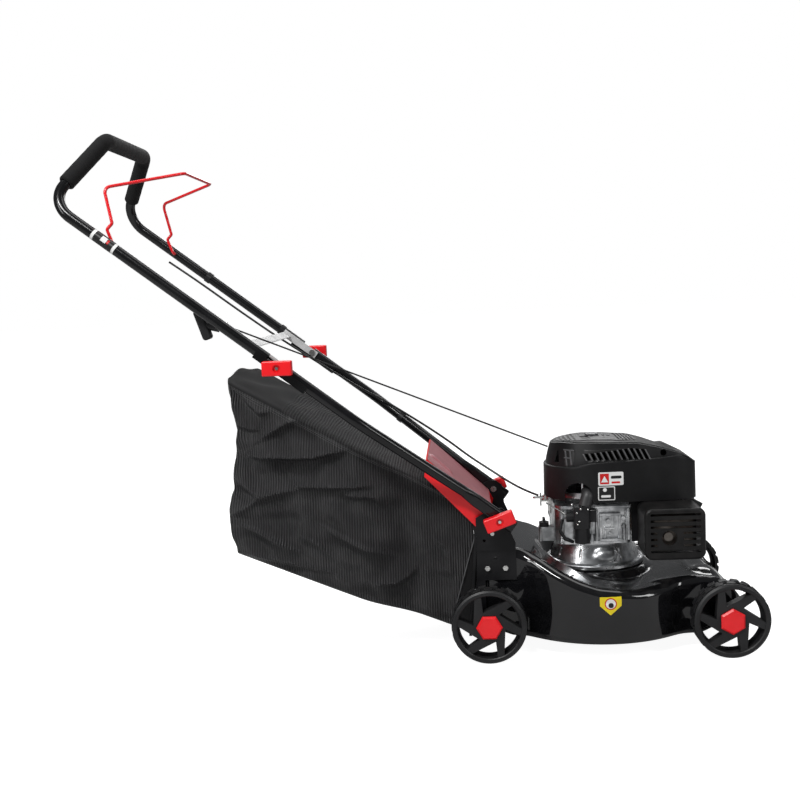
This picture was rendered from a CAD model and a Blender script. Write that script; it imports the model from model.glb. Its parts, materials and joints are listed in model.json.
# Lawn mower with a grass bag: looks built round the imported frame. Metres throughout.
import json
import math

import bpy
import numpy as np
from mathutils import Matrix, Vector


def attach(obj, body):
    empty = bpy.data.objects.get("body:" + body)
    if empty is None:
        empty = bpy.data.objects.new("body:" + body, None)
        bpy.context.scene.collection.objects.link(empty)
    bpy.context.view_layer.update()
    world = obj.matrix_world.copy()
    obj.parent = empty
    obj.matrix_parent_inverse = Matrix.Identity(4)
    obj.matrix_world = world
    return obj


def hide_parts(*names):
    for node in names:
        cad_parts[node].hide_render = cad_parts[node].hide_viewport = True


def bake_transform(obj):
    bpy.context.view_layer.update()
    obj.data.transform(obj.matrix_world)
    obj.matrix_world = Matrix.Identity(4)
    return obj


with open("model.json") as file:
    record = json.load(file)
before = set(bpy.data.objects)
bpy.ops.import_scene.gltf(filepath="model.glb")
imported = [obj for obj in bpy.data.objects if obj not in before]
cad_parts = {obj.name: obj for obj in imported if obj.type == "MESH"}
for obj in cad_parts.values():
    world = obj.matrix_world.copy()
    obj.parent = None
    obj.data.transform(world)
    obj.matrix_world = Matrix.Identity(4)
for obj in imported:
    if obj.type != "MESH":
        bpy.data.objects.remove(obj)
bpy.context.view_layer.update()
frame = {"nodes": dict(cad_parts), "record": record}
cadNodes = frame["nodes"]
mm = 0.001


# ---- camera, floor and lights

cameraSetup = {
    "place": (0.0890, -2.2415, 0.7547), "lens": 46.53,
    "yaw": -3.27, "pitch": 6.05, "roll": -2.52,  # degrees: turned right, tipped down, leaned
}


def addCamera(setup):
    # The forward line comes from yaw and pitch, and the side and up lines are then rolled about it.
    yaw, pitch, roll = (math.radians(setup[k]) for k in ("yaw", "pitch", "roll"))
    ahead = Vector((math.sin(yaw) * math.cos(pitch), math.cos(yaw) * math.cos(pitch), -math.sin(pitch)))
    side = ahead.cross(Vector((0, 0, 1))).normalized()
    up = side.cross(ahead)
    rolledSide = math.cos(roll) * side + math.sin(roll) * up
    rolledUp = math.cos(roll) * up - math.sin(roll) * side
    camera = bpy.data.objects.new("camera", bpy.data.cameras.new("camera"))
    camera.data.lens = setup["lens"]
    camera.data.sensor_width = 36
    turn = np.array([rolledSide, rolledUp, -ahead]).T
    world = np.eye(4)
    world[:3, :3] = turn
    world[:3, 3] = setup["place"]
    camera.matrix_world = [list(row) for row in world.T]
    bpy.context.scene.collection.objects.link(camera)
    bpy.context.scene.camera = camera


def addSoftbox(name, place, aim, size, power, colour=(1, 1, 1)):
    # A rectangular area light looking at a point.
    light = bpy.data.lights.new(name, "AREA")
    light.shape = "RECTANGLE"
    light.size, light.size_y = size
    light.energy = power
    light.color = colour
    lamp = bpy.data.objects.new(name, light)
    lamp.location = place
    lamp.rotation_euler = (Vector(aim) - Vector(place)).to_track_quat("-Z", "Y").to_euler()
    bpy.context.scene.collection.objects.link(lamp)


studio = {
    "floorHalf": 30.0, "floorColour": (0.45, 0.45, 0.45, 1), "floorGlow": (0.07, 0.94),
    "skySeen": (1.0, 1.0, 1.0, 1), "skySeenPower": 1.0,
    "skyLight": (0.95, 0.97, 1.0, 1), "skyLightPower": 0.13,
}


def addStudio(setup):
    # A plain pale floor under a white sky that is seen brighter than it shines.
    half = setup["floorHalf"]
    floorMesh = bpy.data.meshes.new("floor")
    corners = [(-half, -half, 0), (half, -half, 0), (half, half, 0), (-half, half, 0)]
    floorMesh.from_pydata(corners, [], [(0, 1, 2, 3)])
    floor = bpy.data.objects.new("floor", floorMesh)
    bpy.context.scene.collection.objects.link(floor)
    paint = bpy.data.materials.new("floorPaint")
    paint.use_nodes = True
    shader = paint.node_tree.nodes["Principled BSDF"]
    shader.inputs["Base Color"].default_value = setup["floorColour"]
    shader.inputs["Roughness"].default_value = 0.8
    shader.inputs["Emission Color"].default_value = (1, 1, 1, 1)
    seenFloor = paint.node_tree.nodes.new("ShaderNodeLightPath")
    glow = paint.node_tree.nodes.new("ShaderNodeMapRange")
    glow.inputs["To Min"].default_value, glow.inputs["To Max"].default_value = setup["floorGlow"]
    paint.node_tree.links.new(seenFloor.outputs["Is Camera Ray"], glow.inputs["Value"])
    paint.node_tree.links.new(glow.outputs["Result"], shader.inputs["Emission Strength"])
    floorMesh.materials.append(paint)
    world = bpy.data.worlds.new("studio")
    bpy.context.scene.world = world
    world.use_nodes = True
    tree = world.node_tree
    shine = tree.nodes["Background"]
    shine.inputs["Color"].default_value = setup["skyLight"]
    shine.inputs["Strength"].default_value = setup["skyLightPower"]
    seen = tree.nodes.new("ShaderNodeBackground")
    seen.inputs["Color"].default_value = setup["skySeen"]
    seen.inputs["Strength"].default_value = setup["skySeenPower"]
    path = tree.nodes.new("ShaderNodeLightPath")
    mix = tree.nodes.new("ShaderNodeMixShader")
    tree.links.new(path.outputs["Is Camera Ray"], mix.inputs["Fac"])
    tree.links.new(shine.outputs[0], mix.inputs[1])
    tree.links.new(seen.outputs[0], mix.inputs[2])
    tree.links.new(mix.outputs[0], tree.nodes["World Output"].inputs["Surface"])
    addSoftbox("overheadBox", (0.0, 0.3, 3.0), (0.0, 0.0, 0.3), (3.2, 1.2), 26)
    addSoftbox("frontTopBox", (-0.9, -1.9, 2.7), (-0.1, -0.2, 0.3), (1.3, 0.35), 62)
    addSoftbox("leftBox", (-2.4, -2.2, 1.9), (0.0, 0.0, 0.4), (0.5, 1.8), 26)
    addSoftbox("rightBox", (2.6, -1.8, 1.6), (0.2, 0.0, 0.3), (0.4, 1.6), 20)
    addSoftbox("backBox", (0.4, 2.6, 1.9), (0.1, 0.0, 0.5), (3.0, 0.8), 34)
    bpy.context.scene.view_settings.view_transform = "Standard"


addCamera(cameraSetup)
addStudio(studio)
print("camera and studio ready")


# ---- shader groups that several finishes share

def newGroup(name, inputs, outputs):
    # inputs are (name, socket kind, default), outputs are (name, socket kind).
    tree = bpy.data.node_groups.new(name, "ShaderNodeTree")
    for label, kind, value in inputs:
        socket = tree.interface.new_socket(label, in_out="INPUT", socket_type="NodeSocket" + kind)
        if value is not None:
            socket.default_value = value
    for label, kind in outputs:
        tree.interface.new_socket(label, in_out="OUTPUT", socket_type="NodeSocket" + kind)
    start = tree.nodes.new("NodeGroupInput")
    end = tree.nodes.new("NodeGroupOutput")
    return tree, start, end


class Wires:
    # Short ways to add the nodes of one tree and join them up.
    def __init__(self, tree):
        self.tree = tree

    def add(self, kind, **settings):
        node = self.tree.nodes.new("ShaderNode" + kind)
        for key, value in settings.items():
            setattr(node, key, value)
        return node

    def join(self, source, target):
        self.tree.links.new(source, target)

    def feed(self, socket, value):
        if hasattr(value, "is_output"):
            self.tree.links.new(value, socket)
        else:
            socket.default_value = value

    def maths(self, operation, a, b=0.0, c=0.0, clamp=False):
        node = self.add("Math", operation=operation, use_clamp=clamp)
        for socket, value in zip(node.inputs, (a, b, c)):
            self.feed(socket, value)
        return node.outputs[0]

    def noise(self, vector, scale, detail=3.0, rough=0.5, stretch=None):
        if stretch is not None:
            vector = self.stretched(vector, stretch)
        node = self.add("TexNoise")
        self.join(vector, node.inputs["Vector"])
        self.feed(node.inputs["Scale"], scale)
        node.inputs["Detail"].default_value = detail
        node.inputs["Roughness"].default_value = rough
        return node.outputs["Fac"]

    def stretched(self, vector, factors):
        node = self.add("Mapping")
        self.join(vector, node.inputs["Vector"])
        node.inputs["Scale"].default_value = factors
        return node.outputs["Vector"]

    def ranged(self, value, low, high, toLow=0.0, toHigh=1.0):
        node = self.add("MapRange", interpolation_type="SMOOTHSTEP")
        for socket, given in zip(node.inputs, (value, low, high, toLow, toHigh)):
            self.feed(socket, given)
        return node.outputs["Result"]

    def blended(self, factor, a, b):
        node = self.add("Mix", data_type="RGBA")
        for socket, given in zip((node.inputs[0], node.inputs[6], node.inputs[7]), (factor, a, b)):
            self.feed(socket, given)
        return node.outputs[2]


def makeMottle():
    # Slow noise drifts the colour between two tones and the roughness about its middle,
    # and fast noise is the grain's height.
    tree, start, end = newGroup(
        "mottle",
        [("Vector", "Vector", None), ("Tone", "Color", (0.5, 0.5, 0.5, 1)),
         ("Second Tone", "Color", (0.4, 0.4, 0.4, 1)), ("Patch Scale", "Float", 9.0),
         ("Roughness", "Float", 0.4), ("Spread", "Float", 0.1), ("Grain Scale", "Float", 900.0)],
        [("Colour", "Color"), ("Roughness", "Float"), ("Grain", "Float")])
    w = Wires(tree)
    slow = w.noise(start.outputs["Vector"], start.outputs["Patch Scale"], 4, 0.6)
    fine = w.noise(start.outputs["Vector"], start.outputs["Grain Scale"], 2, 0.6)
    tone = w.blended(w.ranged(slow, 0.36, 0.66), start.outputs["Tone"], start.outputs["Second Tone"])
    w.join(tone, end.inputs["Colour"])
    drift = w.maths("SUBTRACT", slow, 0.5)
    w.join(w.maths("MULTIPLY_ADD", drift, start.outputs["Spread"], start.outputs["Roughness"], clamp=True),
           end.inputs["Roughness"])
    w.join(fine, end.inputs["Grain"])
    return tree


def makeDust():
    # A film that lies on what faces up, broken by noise: the mask is the normal's z, narrowed, times
    # the noise.
    tree, start, end = newGroup(
        "dust",
        [("Vector", "Vector", None), ("Base", "Color", (0, 0, 0, 1)), ("Dust", "Color", (0.4, 0.38, 0.35, 1)),
         ("Amount", "Float", 0.1), ("Roughness", "Float", 0.3)],
        [("Colour", "Color"), ("Roughness", "Float")])
    w = Wires(tree)
    face = w.add("NewGeometry")
    parts = w.add("SeparateXYZ")
    w.join(face.outputs["Normal"], parts.inputs[0])
    up = w.ranged(parts.outputs["Z"], 0.35, 1.0)
    speck = w.ranged(w.noise(start.outputs["Vector"], 60, 6, 0.7), 0.38, 0.75)
    mask = w.maths("MULTIPLY", w.maths("MULTIPLY", up, speck), start.outputs["Amount"], clamp=True)
    w.join(w.blended(mask, start.outputs["Base"], start.outputs["Dust"]), end.inputs["Colour"])
    dusty = w.maths("MULTIPLY_ADD", mask, 0.6, start.outputs["Roughness"], clamp=True)
    w.join(dusty, end.inputs["Roughness"])
    return tree


def makeScratches():
    # Thin lines are where a noise drawn out along one way passes its middle value.
    tree, start, end = newGroup(
        "scratches", [("Vector", "Vector", None), ("Amount", "Float", 0.2)], [("Mask", "Float")])
    w = Wires(tree)
    lines = []
    for stretch in ((260, 22, 22), (30, 30, 340)):
        field = w.noise(start.outputs["Vector"], 1.0, 2, 0.5, stretch)
        away = w.maths("ABSOLUTE", w.maths("SUBTRACT", field, 0.5))
        lines.append(w.ranged(away, 0.0, 0.012, 1.0, 0.0))
    gate = w.ranged(w.noise(start.outputs["Vector"], 14, 2, 0.5), 0.5, 0.7)
    both = w.maths("MAXIMUM", *lines)
    mask = w.maths("MULTIPLY", w.maths("MULTIPLY", both, gate), start.outputs["Amount"], clamp=True)
    w.join(mask, end.inputs["Mask"])
    return tree


def makeRibs():
    # Cloth of raised cords: the height is a rounded wave across the cords, with short threads between them.
    # Vector holds metres along (x) and round (y).
    tree, start, end = newGroup(
        "ribs",
        [("Vector", "Vector", None), ("Pitch", "Float", 0.0052), ("Thread Pitch", "Float", 0.0011)],
        [("Height", "Float"), ("Crest", "Float"), ("Thread", "Float")])
    w = Wires(tree)
    parts = w.add("SeparateXYZ")
    wander = w.noise(start.outputs["Vector"], 40, 2, 0.5)
    w.join(start.outputs["Vector"], parts.inputs[0])
    along = w.maths("MULTIPLY_ADD", wander, 0.0012, parts.outputs["X"])
    turn = w.maths("MULTIPLY", w.maths("DIVIDE", along, start.outputs["Pitch"]), 2 * math.pi)
    wave = w.maths("MULTIPLY_ADD", w.maths("SINE", turn), 0.5, 0.5)
    crest = w.maths("POWER", wave, 1.6)
    threadShare = w.maths("DIVIDE", parts.outputs["Y"], start.outputs["Thread Pitch"])
    threadTurn = w.maths("MULTIPLY", threadShare, 2 * math.pi)
    thread = w.maths("MULTIPLY_ADD", w.maths("SINE", threadTurn), 0.5, 0.5)
    w.join(w.maths("MULTIPLY_ADD", thread, 0.25, crest), end.inputs["Height"])
    w.join(crest, end.inputs["Crest"])
    w.join(thread, end.inputs["Thread"])
    return tree


groups = {"mottle": makeMottle(), "dust": makeDust(), "scratches": makeScratches(), "ribs": makeRibs()}


def placeGroup(w, name, **values):
    node = w.add("Group")
    node.node_tree = groups[name]
    for key, value in values.items():
        w.feed(node.inputs[key.replace("_", " ")], value)
    return node


# ---- finishes, one per material slot

def solid(r, g, b):
    return (r, g, b, 1.0)


finishes = {
    "gloss_black_steel": {
        "tone": solid(0.0035, 0.0035, 0.004), "second": solid(0.006, 0.006, 0.007),
        "rough": 0.16, "spread": 0.05,
        "coat": 1.0, "coatRough": 0.04, "grain": 900, "bump": 0.04, "dust": 0.04, "specular": 0.1},
    "satin_black_tube": {
        "tone": solid(0.0035, 0.0035, 0.004), "second": solid(0.007, 0.007, 0.008),
        "rough": 0.22, "spread": 0.10,
        "coat": 0.35, "coatRough": 0.12, "grain": 1500, "bump": 0.05, "scratch": 0.12, "specular": 0.25},
    "black_plate": {
        "tone": solid(0.006, 0.006, 0.007), "second": solid(0.011, 0.011, 0.012),
        "rough": 0.33, "spread": 0.12,
        "grain": 1300, "bump": 0.08, "scratch": 0.15, "specular": 0.22},
    "zinc": {
        "tone": solid(0.74, 0.74, 0.72), "second": solid(0.58, 0.58, 0.57), "rough": 0.22, "spread": 0.25,
        "metal": 1.0, "grain": 1200, "bump": 0.06, "patch": 60},
    "dark_steel": {
        "tone": solid(0.30, 0.30, 0.31), "second": solid(0.16, 0.16, 0.165), "rough": 0.36, "spread": 0.3,
        "metal": 1.0, "grain": 1100, "bump": 0.1, "patch": 35},
    "blade_steel": {
        "tone": solid(0.38, 0.38, 0.39), "second": solid(0.22, 0.21, 0.20), "rough": 0.34, "spread": 0.3,
        "metal": 1.0, "grain": 700, "bump": 0.12, "stretch": (1, 14, 14), "scratch": 0.5},
    "cast_aluminium": {
        "tone": solid(0.80, 0.81, 0.82), "second": solid(0.34, 0.35, 0.36), "rough": 0.30, "spread": 0.3,
        "metal": 1.0, "grain": 620, "bump": 0.3, "patch": 28},
    "wheel_plastic": {
        "tone": solid(0.010, 0.010, 0.011), "second": solid(0.018, 0.018, 0.019),
        "rough": 0.42, "spread": 0.12,
        "grain": 1900, "bump": 0.16, "dust": 0.05, "specular": 0.35},
    "red_plastic": {
        "tone": solid(0.90, 0.008, 0.014), "second": solid(0.82, 0.007, 0.012),
        "rough": 0.32, "spread": 0.12,
        "grain": 1500, "bump": 0.06, "coat": 0.15, "coatRough": 0.2},
    "housing_plastic": {
        "tone": solid(0.006, 0.006, 0.0063), "second": solid(0.009, 0.009, 0.0095),
        "rough": 0.40, "spread": 0.08,
        "grain": 2100, "bump": 0.14, "dust": 0.05, "specular": 0.26},
    "grille_plastic": {
        "tone": solid(0.055, 0.055, 0.058), "second": solid(0.075, 0.075, 0.078),
        "rough": 0.5, "spread": 0.1,
        "grain": 2100, "bump": 0.14, "dust": 0.15},
    "black_plastic": {
        "tone": solid(0.009, 0.009, 0.010), "second": solid(0.015, 0.015, 0.016),
        "rough": 0.40, "spread": 0.14,
        "grain": 1700, "bump": 0.12, "specular": 0.3},
    "guard_steel": {
        "tone": solid(0.006, 0.006, 0.006), "second": solid(0.013, 0.012, 0.012),
        "rough": 0.38, "spread": 0.18,
        "grain": 1200, "bump": 0.18, "patch": 30, "specular": 0.25},
    "muffler_steel": {
        "tone": solid(0.22, 0.20, 0.18), "second": solid(0.12, 0.09, 0.075), "rough": 0.45, "spread": 0.2,
        "metal": 1.0, "grain": 900, "bump": 0.15, "patch": 30},
    "foam": {
        "tone": solid(0.005, 0.005, 0.0052), "second": solid(0.008, 0.008, 0.0083),
        "rough": 0.86, "spread": 0.1,
        "grain": 850, "bump": 0.55, "patch": 40, "sheen": 0.05, "specular": 0.2},
    "red_rod": {
        "tone": solid(0.78, 0.006, 0.012), "second": solid(0.70, 0.005, 0.010),
        "rough": 0.26, "spread": 0.1,
        "grain": 1400, "bump": 0.05, "coat": 0.4, "coatRough": 0.1},
    "grey_strap": {
        "tone": solid(0.62, 0.62, 0.62), "second": solid(0.50, 0.50, 0.50), "rough": 0.5, "spread": 0.2,
        "metal": 0.0, "grain": 1300, "bump": 0.06},
    "rope": {
        "tone": solid(0.008, 0.008, 0.008), "second": solid(0.016, 0.016, 0.016),
        "rough": 0.8, "spread": 0.1,
        "grain": 1500, "bump": 0.3},
    "cable_jacket": {
        "tone": solid(0.006, 0.006, 0.006), "second": solid(0.011, 0.011, 0.011),
        "rough": 0.35, "spread": 0.15,
        "grain": 1500, "bump": 0.05},
    "ceramic": {
        "tone": solid(0.008, 0.008, 0.008), "second": solid(0.014, 0.014, 0.014),
        "rough": 0.35, "spread": 0.1,
        "grain": 1400, "bump": 0.05},
}


def startMaterial(name):
    material = bpy.data.materials.new(name)
    material.use_nodes = True
    w = Wires(material.node_tree)
    return material, w, material.node_tree.nodes["Principled BSDF"]


def makeFinish(name, look):
    # Two tones and a roughness that drift slowly, a fine grain in the bump, then dust and scratches
    # where given.
    material, w, shader = startMaterial(name)
    spot = w.add("TexCoord").outputs["Object"]
    if "stretch" in look:
        spot = w.stretched(spot, look["stretch"])
    base = placeGroup(w, "mottle", Vector=spot, Tone=look["tone"], Second_Tone=look["second"],
                      Patch_Scale=look.get("patch", 16.0), Roughness=look["rough"],
                      Spread=look.get("spread", 0.1),
                      Grain_Scale=float(look.get("grain", 1500)))
    colour, rough = base.outputs["Colour"], base.outputs["Roughness"]
    if look.get("dust"):
        film = placeGroup(w, "dust", Vector=spot, Base=colour, Amount=look["dust"], Roughness=rough)
        colour, rough = film.outputs["Colour"], film.outputs["Roughness"]
    if look.get("scratch"):
        lines = placeGroup(w, "scratches", Vector=spot, Amount=look["scratch"]).outputs["Mask"]
        rough = w.maths("ADD", rough, w.maths("MULTIPLY", lines, 0.5), clamp=True)
    w.join(colour, shader.inputs["Base Color"])
    w.join(rough, shader.inputs["Roughness"])
    bump = w.add("Bump")
    bump.inputs["Strength"].default_value = look["bump"]
    bump.inputs["Distance"].default_value = 0.0004
    w.join(base.outputs["Grain"], bump.inputs["Height"])
    w.join(bump.outputs["Normal"], shader.inputs["Normal"])
    shader.inputs["Metallic"].default_value = look.get("metal", 0.0)
    shader.inputs["Specular IOR Level"].default_value = look.get("specular", 0.5)
    shader.inputs["Coat Weight"].default_value = look.get("coat", 0.0)
    shader.inputs["Coat Roughness"].default_value = look.get("coatRough", 0.03)
    shader.inputs["Sheen Weight"].default_value = look.get("sheen", 0.0)
    return material


materials = {name: makeFinish(name, look) for name, look in finishes.items()}


def makeBagCloth():
    # Black cords on a darker ground. The cords' crests catch the light, and the seam-side tone drifts slowly.
    material, w, shader = startMaterial("bag_fabric")
    spot = w.add("UVMap", uv_map="cloth").outputs["UV"]
    place = w.add("TexCoord").outputs["Object"]
    ribs = placeGroup(w, "ribs", Vector=spot)
    base = placeGroup(w, "mottle", Vector=place, Tone=solid(0.034, 0.0335, 0.035),
                      Second_Tone=solid(0.055, 0.054, 0.056), Patch_Scale=14.0, Roughness=0.40, Spread=0.2,
                      Grain_Scale=2400.0)
    plain = w.add("Attribute", attribute_name="plain")
    shown = w.maths("SUBTRACT", 1.0, plain.outputs["Fac"], clamp=True)
    crest = w.maths("MULTIPLY", ribs.outputs["Crest"], shown)
    dark = w.blended(crest, solid(0.0035, 0.0033, 0.0038), base.outputs["Colour"])
    w.join(dark, shader.inputs["Base Color"])
    matt = w.add("Attribute", attribute_name="matt")
    mattRough = w.maths("MULTIPLY", matt.outputs["Fac"], 0.95)
    w.join(w.maths("MAXIMUM", base.outputs["Roughness"], mattRough), shader.inputs["Roughness"])
    bump = w.add("Bump")
    bump.inputs["Strength"].default_value = 1.0
    bump.inputs["Distance"].default_value = 0.0013
    w.join(w.maths("MULTIPLY", ribs.outputs["Height"], shown), bump.inputs["Height"])
    w.join(bump.outputs["Normal"], shader.inputs["Normal"])
    shader.inputs["Specular IOR Level"].default_value = 0.45
    return material


materials["bag_fabric"] = makeBagCloth()

for part in frame["record"]["subparts"]:
    mesh = cadNodes[part["node"]].data
    mesh.materials.clear()
    mesh.materials.append(materials[part["material_slot"]])
print("finishes on", len(cadNodes), "frame nodes")


# ---- mesh makers: arrays in, mesh out

def makePiece(name, points, faces, material, body, replaced=(), smooth=True, uv=None):
    # points is (n, 3), faces a list of index lists or an (m, 4) array, and uv (n, 2) one pair per point.
    mesh = bpy.data.meshes.new(name)
    if isinstance(faces, np.ndarray):
        faces = faces.tolist()
    mesh.from_pydata(np.asarray(points, float).tolist(), [], faces)
    mesh.polygons.foreach_set("use_smooth", [smooth] * len(mesh.polygons))
    if uv is not None:
        layer = mesh.uv_layers.new(name="cloth")
        corner = np.zeros(len(mesh.loops), int)
        mesh.loops.foreach_get("vertex_index", corner)
        layer.data.foreach_set("uv", np.asarray(uv, float)[corner].ravel())
    mesh.materials.append(material)
    piece = bpy.data.objects.new(name, mesh)
    bpy.context.scene.collection.objects.link(piece)
    if body:
        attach(piece, body)
    if replaced:
        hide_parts(*replaced)
    return piece


def gridFaces(rows, columns, wrapRows=False, wrapColumns=False):
    # Quads between neighbouring rows and columns of a grid of points, row after row.
    r = np.arange(rows if wrapRows else rows - 1)
    c = np.arange(columns if wrapColumns else columns - 1)
    r, c = np.meshgrid(r, c, indexing="ij")
    rNext, cNext = (r + 1) % rows, (c + 1) % columns
    corners = [r * columns + c, r * columns + cNext, rNext * columns + cNext, rNext * columns + c]
    return np.stack(corners, -1).reshape(-1, 4)


def tubeGrid(path, radius, sides, reference=(0.0, 1.0, 0.0)):
    # A ring round each point of a path: centre plus radius times the two lines square to the path's tangent.
    path = np.asarray(path, float)
    tangent = np.gradient(path, axis=0)
    tangent /= np.linalg.norm(tangent, axis=1, keepdims=True)
    across = np.cross(tangent, np.asarray(reference, float))
    across /= np.linalg.norm(across, axis=1, keepdims=True)
    other = np.cross(tangent, across)
    turn = np.linspace(0, 2 * np.pi, sides, endpoint=False)
    radius = np.broadcast_to(np.asarray(radius, float).reshape(-1, 1, 1), (len(path), 1, 1))
    ring = np.cos(turn)[None, :, None] * across[:, None] + np.sin(turn)[None, :, None] * other[:, None]
    return path[:, None] + radius * ring


def endCaps(rows, columns):
    # One face over the first ring and one over the last.
    first = list(range(columns))
    last = [(rows - 1) * columns + k for k in range(columns)]
    return [first, last[::-1]]


def meshPoints(mesh):
    spots = np.zeros(len(mesh.vertices) * 3)
    mesh.vertices.foreach_get("co", spots)
    return spots.reshape(-1, 3)


def routeLine(name, points):
    # The smooth line that a route's points steer, read back from a NURBS curve.
    curve = bpy.data.curves.new(name, "CURVE")
    curve.dimensions = "3D"
    curve.resolution_u = 16
    spline = curve.splines.new("NURBS")
    spline.points.add(len(points) - 1)
    spline.points.foreach_set("co", [v for p in points for v in (*p, 1.0)])
    spline.order_u = 3
    spline.use_endpoint_u = True
    holder = bpy.data.objects.new(name, curve)
    mesh = bpy.data.meshes.new_from_object(holder)
    line = meshPoints(mesh)
    bpy.data.objects.remove(holder)
    bpy.data.meshes.remove(mesh)
    return line


# ---- control cable and starter rope

controlCable = {
    "radius": 2.5 * mm, "sides": 12,
    "route": [
        (-590, 222, 846), (-548, 220, 816), (-498, 220, 778), (-448, 220, 739), (-398, 219, 701),
        (-348, 217, 664), (-298, 212, 630), (-248, 208, 596), (-196, 208, 561), (-144, 212, 526),
        (-94, 214, 498), (-46, 208, 467), (8, 199, 432), (60, 190, 396), (110, 178, 357), (156, 158, 328),
        (198, 128, 303), (232, 92, 289), (258, 58, 284),
    ],
    "blendStart": (-150, 212, 530), "blendEnd": (-330, 215, 652),
}


def makeCable(look):
    # A round jacket along the route's smooth line.
    line = routeLine("controlCableLine", [tuple(v * mm for v in p) for p in look["route"]])
    rings = tubeGrid(line, look["radius"], look["sides"])
    rows, columns = rings.shape[:2]
    faces = gridFaces(rows, columns, wrapColumns=True).tolist() + endCaps(rows, columns)
    cable = makePiece("controlCable", rings.reshape(-1, 3), faces, materials["cable_jacket"], None,
                      ("control_cable",))
    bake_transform(cable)


makeCable(controlCable)

starterRope = {
    "radius": 1.75 * mm, "strands": 8, "start": (-366, -215, 700.5), "end": (271, -80, 415.5),
    "steps": 260, "pitch": 9 * mm,
}


def makeRope(look):
    # A braided rope: the radius swells where one of two sets of strands, winding opposite ways, comes up.
    start, end = (np.array(look[k]) * mm for k in ("start", "end"))
    t = np.linspace(0, 1, look["steps"])[:, None]
    line = start + (end - start) * t
    length = float(np.linalg.norm(end - start))
    sides = 2 * look["strands"]
    rings = tubeGrid(line, look["radius"], sides)
    turn = np.arange(sides) / sides * 2 * np.pi
    wind = t * length / look["pitch"] * 2 * np.pi
    strandTurn = look["strands"] / 2 * turn[None]
    swell = np.maximum(np.cos(strandTurn + wind), np.cos(strandTurn - wind))
    rings = line[:, None] + (rings - line[:, None]) * (0.93 + 0.07 * swell[..., None])
    rows, columns = rings.shape[:2]
    faces = gridFaces(rows, columns, wrapColumns=True).tolist() + endCaps(rows, columns)
    rope = makePiece("starterRope", rings.reshape(-1, 3), faces, materials["rope"], None,
                     ("starter_rope",))
    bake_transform(rope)


makeRope(starterRope)
print("cords ready")

# ---- grass bag

grassBag = {
    "mouthLine": [(107, 304), (110, 241), (92, 31)],  # x, z from top to bottom
    "rearTop": (-375, 586), "rearBottom": (-380, 222), "waist": 15, "belly": 11,
    "mouthHalf": 137, "rearHalf": 184, "widenFrom": 0, "widenTo": -130,
    "topCorner": 22.0, "lowCorner": 11.0,  # how square the section is
    "crown": 7, "rearCrown": 22, "sag": 5, "sideBelly": 3,
    "sideSteps": 110, "topSteps": 84, "alongSteps": 132, "capSteps": 26,
    "plainFrom": -262, "gusset": (111, 241, 0.30),  # the piping's top point and its slope
    # Folds of the side cloth: a line of x, z, the height in mm, and its reach above and below.
    "folds": [
        ([(-352, 556), (-330, 536), (-314, 521), (-286, 523)], 5.0, 16, 5),
        ([(-335, 458), (-293, 481), (-255, 501), (-226, 504), (-190, 482)], 6.0, 13, 7),
        ([(-345, 432), (-282, 429), (-212, 426), (-140, 438)], 9.0, 30, 3.5),
        ([(-258, 385), (-245, 368), (-192, 364), (-82, 361)], 5.0, 20, 3),
        ([(-158, 346), (-111, 342), (-88, 335), (-74, 311)], 3.6, 12, 4),
        ([(-372, 383), (-327, 350), (-291, 356), (-240, 362)], 6.0, 14, 6),
        ([(-386, 307), (-359, 325), (-329, 343), (-273, 348)], 4.5, 12, 8),
        ([(-218, 294), (-171, 268), (-111, 233), (-52, 207)], 6.0, 4, 13),
        ([(-242, 268), (-209, 247), (-176, 214)], 4.0, 4, 12),
        ([(-384, 298), (-340, 282), (-294, 256), (-240, 226)], 6.5, 5, 16),
        ([(-98, 156), (-57, 152), (-30, 162), (-8, 186)], 4.0, 13, 4),
        ([(-378, 236), (-276, 207), (-165, 182)], 3.0, 12, 4),
        ([(-366, 500), (-330, 488), (-296, 492)], 3.0, 10, 4),
        ([(20, 250), (52, 215), (60, 150)], 2.5, 12, 5),
    ],
    "ripples": 9, "rippleHeight": 1.2, "foldRise": 3.4, "seed": 7,
}


def smoothStep(value, low, high):
    t = np.clip((value - low) / (high - low), 0, 1)
    return t * t * (3 - 2 * t)


def lineDistance(x, z, line):
    # The signed distance to a bent line, positive on its upper side, and how far along it, from 0 to 1.
    points = np.array(line, float)
    start, step = points[:-1], np.diff(points, axis=0)
    length = np.linalg.norm(step, axis=1)
    reach = np.stack([x, z], -1)[..., None, :] - start
    along = np.clip((reach * step).sum(-1) / length**2, 0, 1)
    gap = reach - along[..., None] * step
    distance = np.linalg.norm(gap, axis=-1)
    nearest = distance.argmin(-1)[..., None]
    side = np.sign(step[:, 0] * reach[..., 1] - step[:, 1] * reach[..., 0])
    travelled = (np.concatenate([[0], np.cumsum(length)[:-1]]) + along * length) / length.sum()
    pick = [np.take_along_axis(v, nearest, -1)[..., 0] for v in (distance, side, travelled)]
    return pick[0] * pick[1], pick[2]


def foldHeight(x, z, folds):
    # Each fold rises to its line, falls away slowly on one side and steeply on the other, and tapers
    # to its ends.
    height = np.zeros_like(x)
    for line, rise, above, below in folds:
        away, along = lineDistance(x, z, line)
        reach = np.where(away > 0, above, below)
        height += rise * np.sin(np.pi * np.clip(along, 0.02, 0.98)) ** 0.7 * np.exp(-np.abs(away) / reach)
    return height


def bagHalf(look, x):
    # Half the width: the mouth's, growing to the rear's.
    share = smoothStep(-x, look["widenFrom"], -look["widenTo"])
    return look["mouthHalf"] + (look["rearHalf"] - look["mouthHalf"]) * share


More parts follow.
